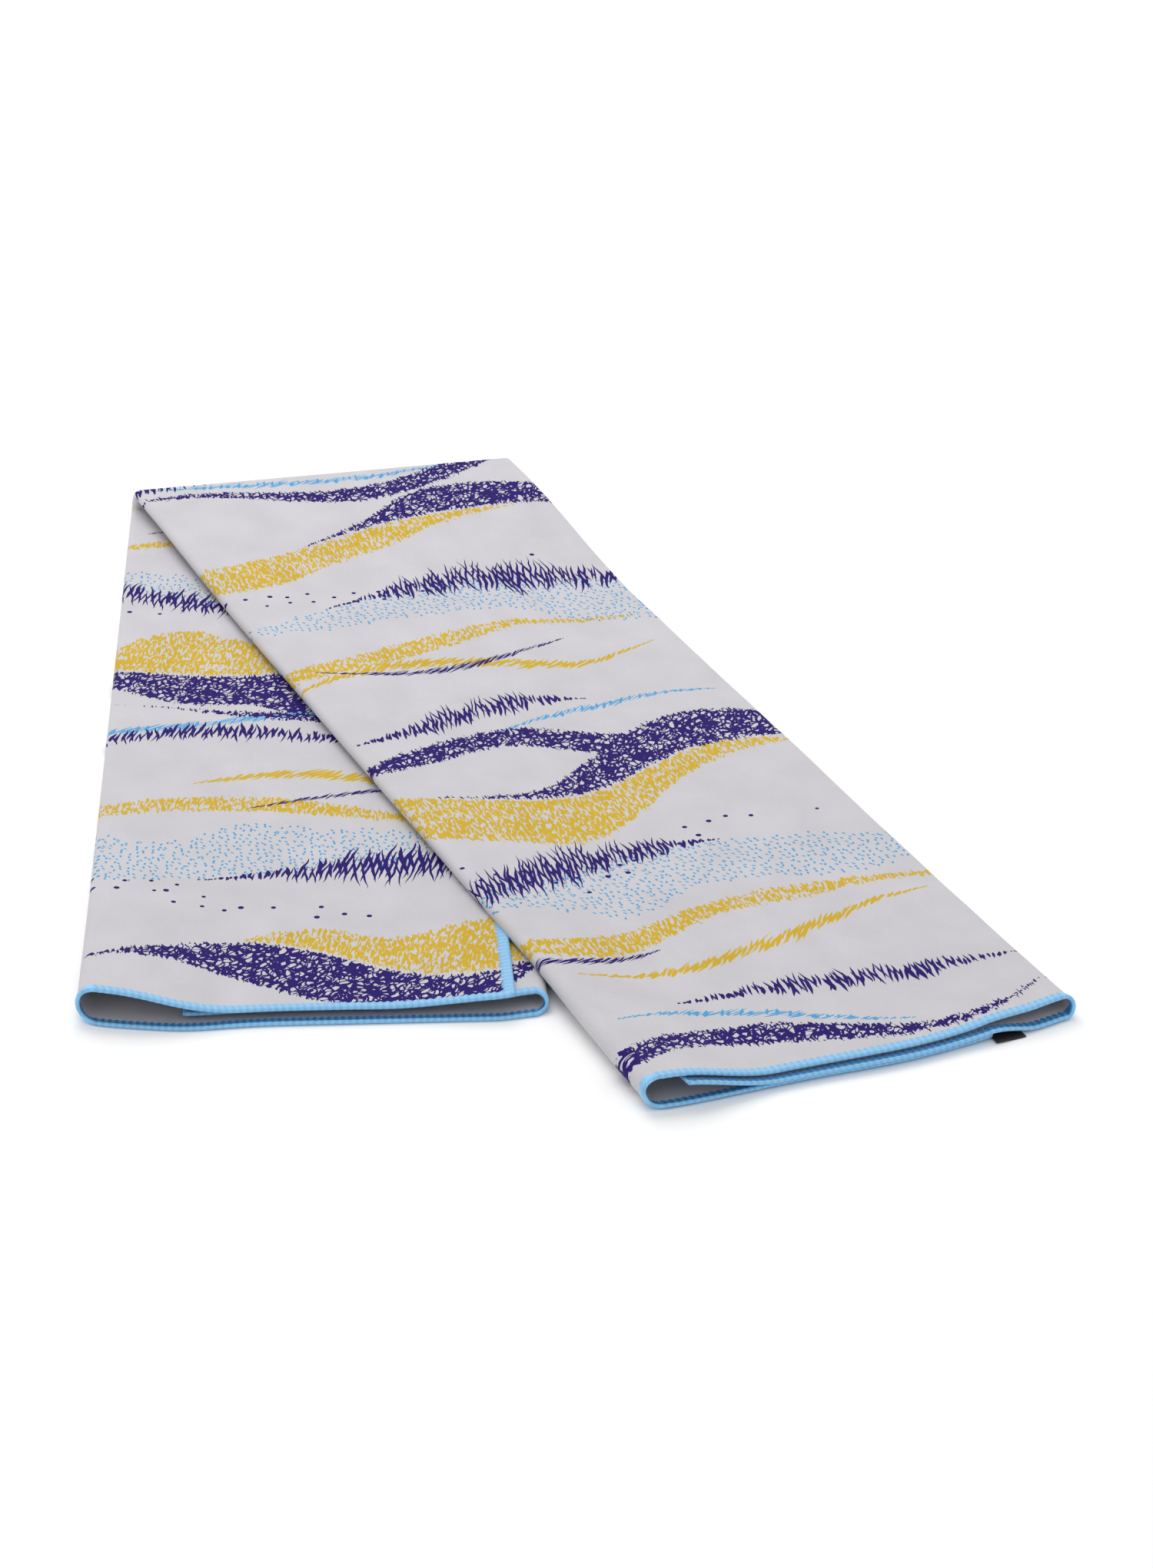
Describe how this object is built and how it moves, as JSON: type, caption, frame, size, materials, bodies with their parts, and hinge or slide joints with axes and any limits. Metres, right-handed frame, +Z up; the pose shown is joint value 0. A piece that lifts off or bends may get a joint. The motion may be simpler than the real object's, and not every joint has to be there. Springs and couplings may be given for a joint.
{
  "type": "quick dry towel",
  "caption": "Thin microfibre travel towel with an overlocked edge, folded lengthwise into a strip and over once at a slant, so its two legs lie in a narrow V.",
  "frame": {"origin": "under the middle of the folded towel, on the surface that it lies on", "axes": "+Z up, away from the surface; +Y from the two open ends towards the cross fold; +X towards the upper leg"},
  "size_m": [0.504, 0.7432, 0.016],
  "materials": {
    "cloth": "matt microfibre suede, pale grey with a printed brush pattern on one face",
    "hem": "light blue overlock thread, slightly shiny",
    "label": "black woven tape, plain"
  },
  "bodies": {
    "lower_leg": {"lower_centre_panel": "cloth", "lower_inner_flap": "cloth", "lower_outer_flap": "cloth", "lower_outer_bend": "cloth", "lower_inner_bend": "cloth", "lower_outer_side_hem": "hem", "lower_inner_side_hem": "hem", "lower_end_hem_centre_panel": "hem", "lower_end_hem_inner_flap": "hem", "lower_end_hem_outer_flap": "hem", "lower_end_hem_outer_bend": "hem", "lower_end_hem_inner_bend": "hem", "fold_centre_panel": "cloth", "fold_inner_flap": "cloth", "fold_outer_flap": "cloth", "fold_outer_bend": "cloth", "fold_inner_bend": "cloth", "fold_outer_side_hem": "hem", "fold_inner_side_hem": "hem"},
    "upper_leg": {"upper_centre_panel": "cloth", "upper_inner_flap": "cloth", "upper_outer_flap": "cloth", "upper_outer_bend": "cloth", "upper_inner_bend": "cloth", "upper_outer_side_hem": "hem", "upper_inner_side_hem": "hem", "upper_end_hem_centre_panel": "hem", "upper_end_hem_inner_flap": "hem", "upper_end_hem_outer_flap": "hem", "upper_end_hem_outer_bend": "hem", "upper_end_hem_inner_bend": "hem", "label": "label"}
  },
  "joints": [
    {"name": "cross_fold", "type": "hinge", "parent": "lower_leg", "child": "upper_leg", "pos_m": [-0.13909, 0.33866, 0.008], "axis": [-0.9746, -0.2238, 0], "range_deg": [0, 180], "deforming": ["fold_centre_panel", "fold_inner_flap", "fold_outer_flap", "fold_outer_bend", "fold_inner_bend", "fold_outer_side_hem", "fold_inner_side_hem"]}
  ]
}
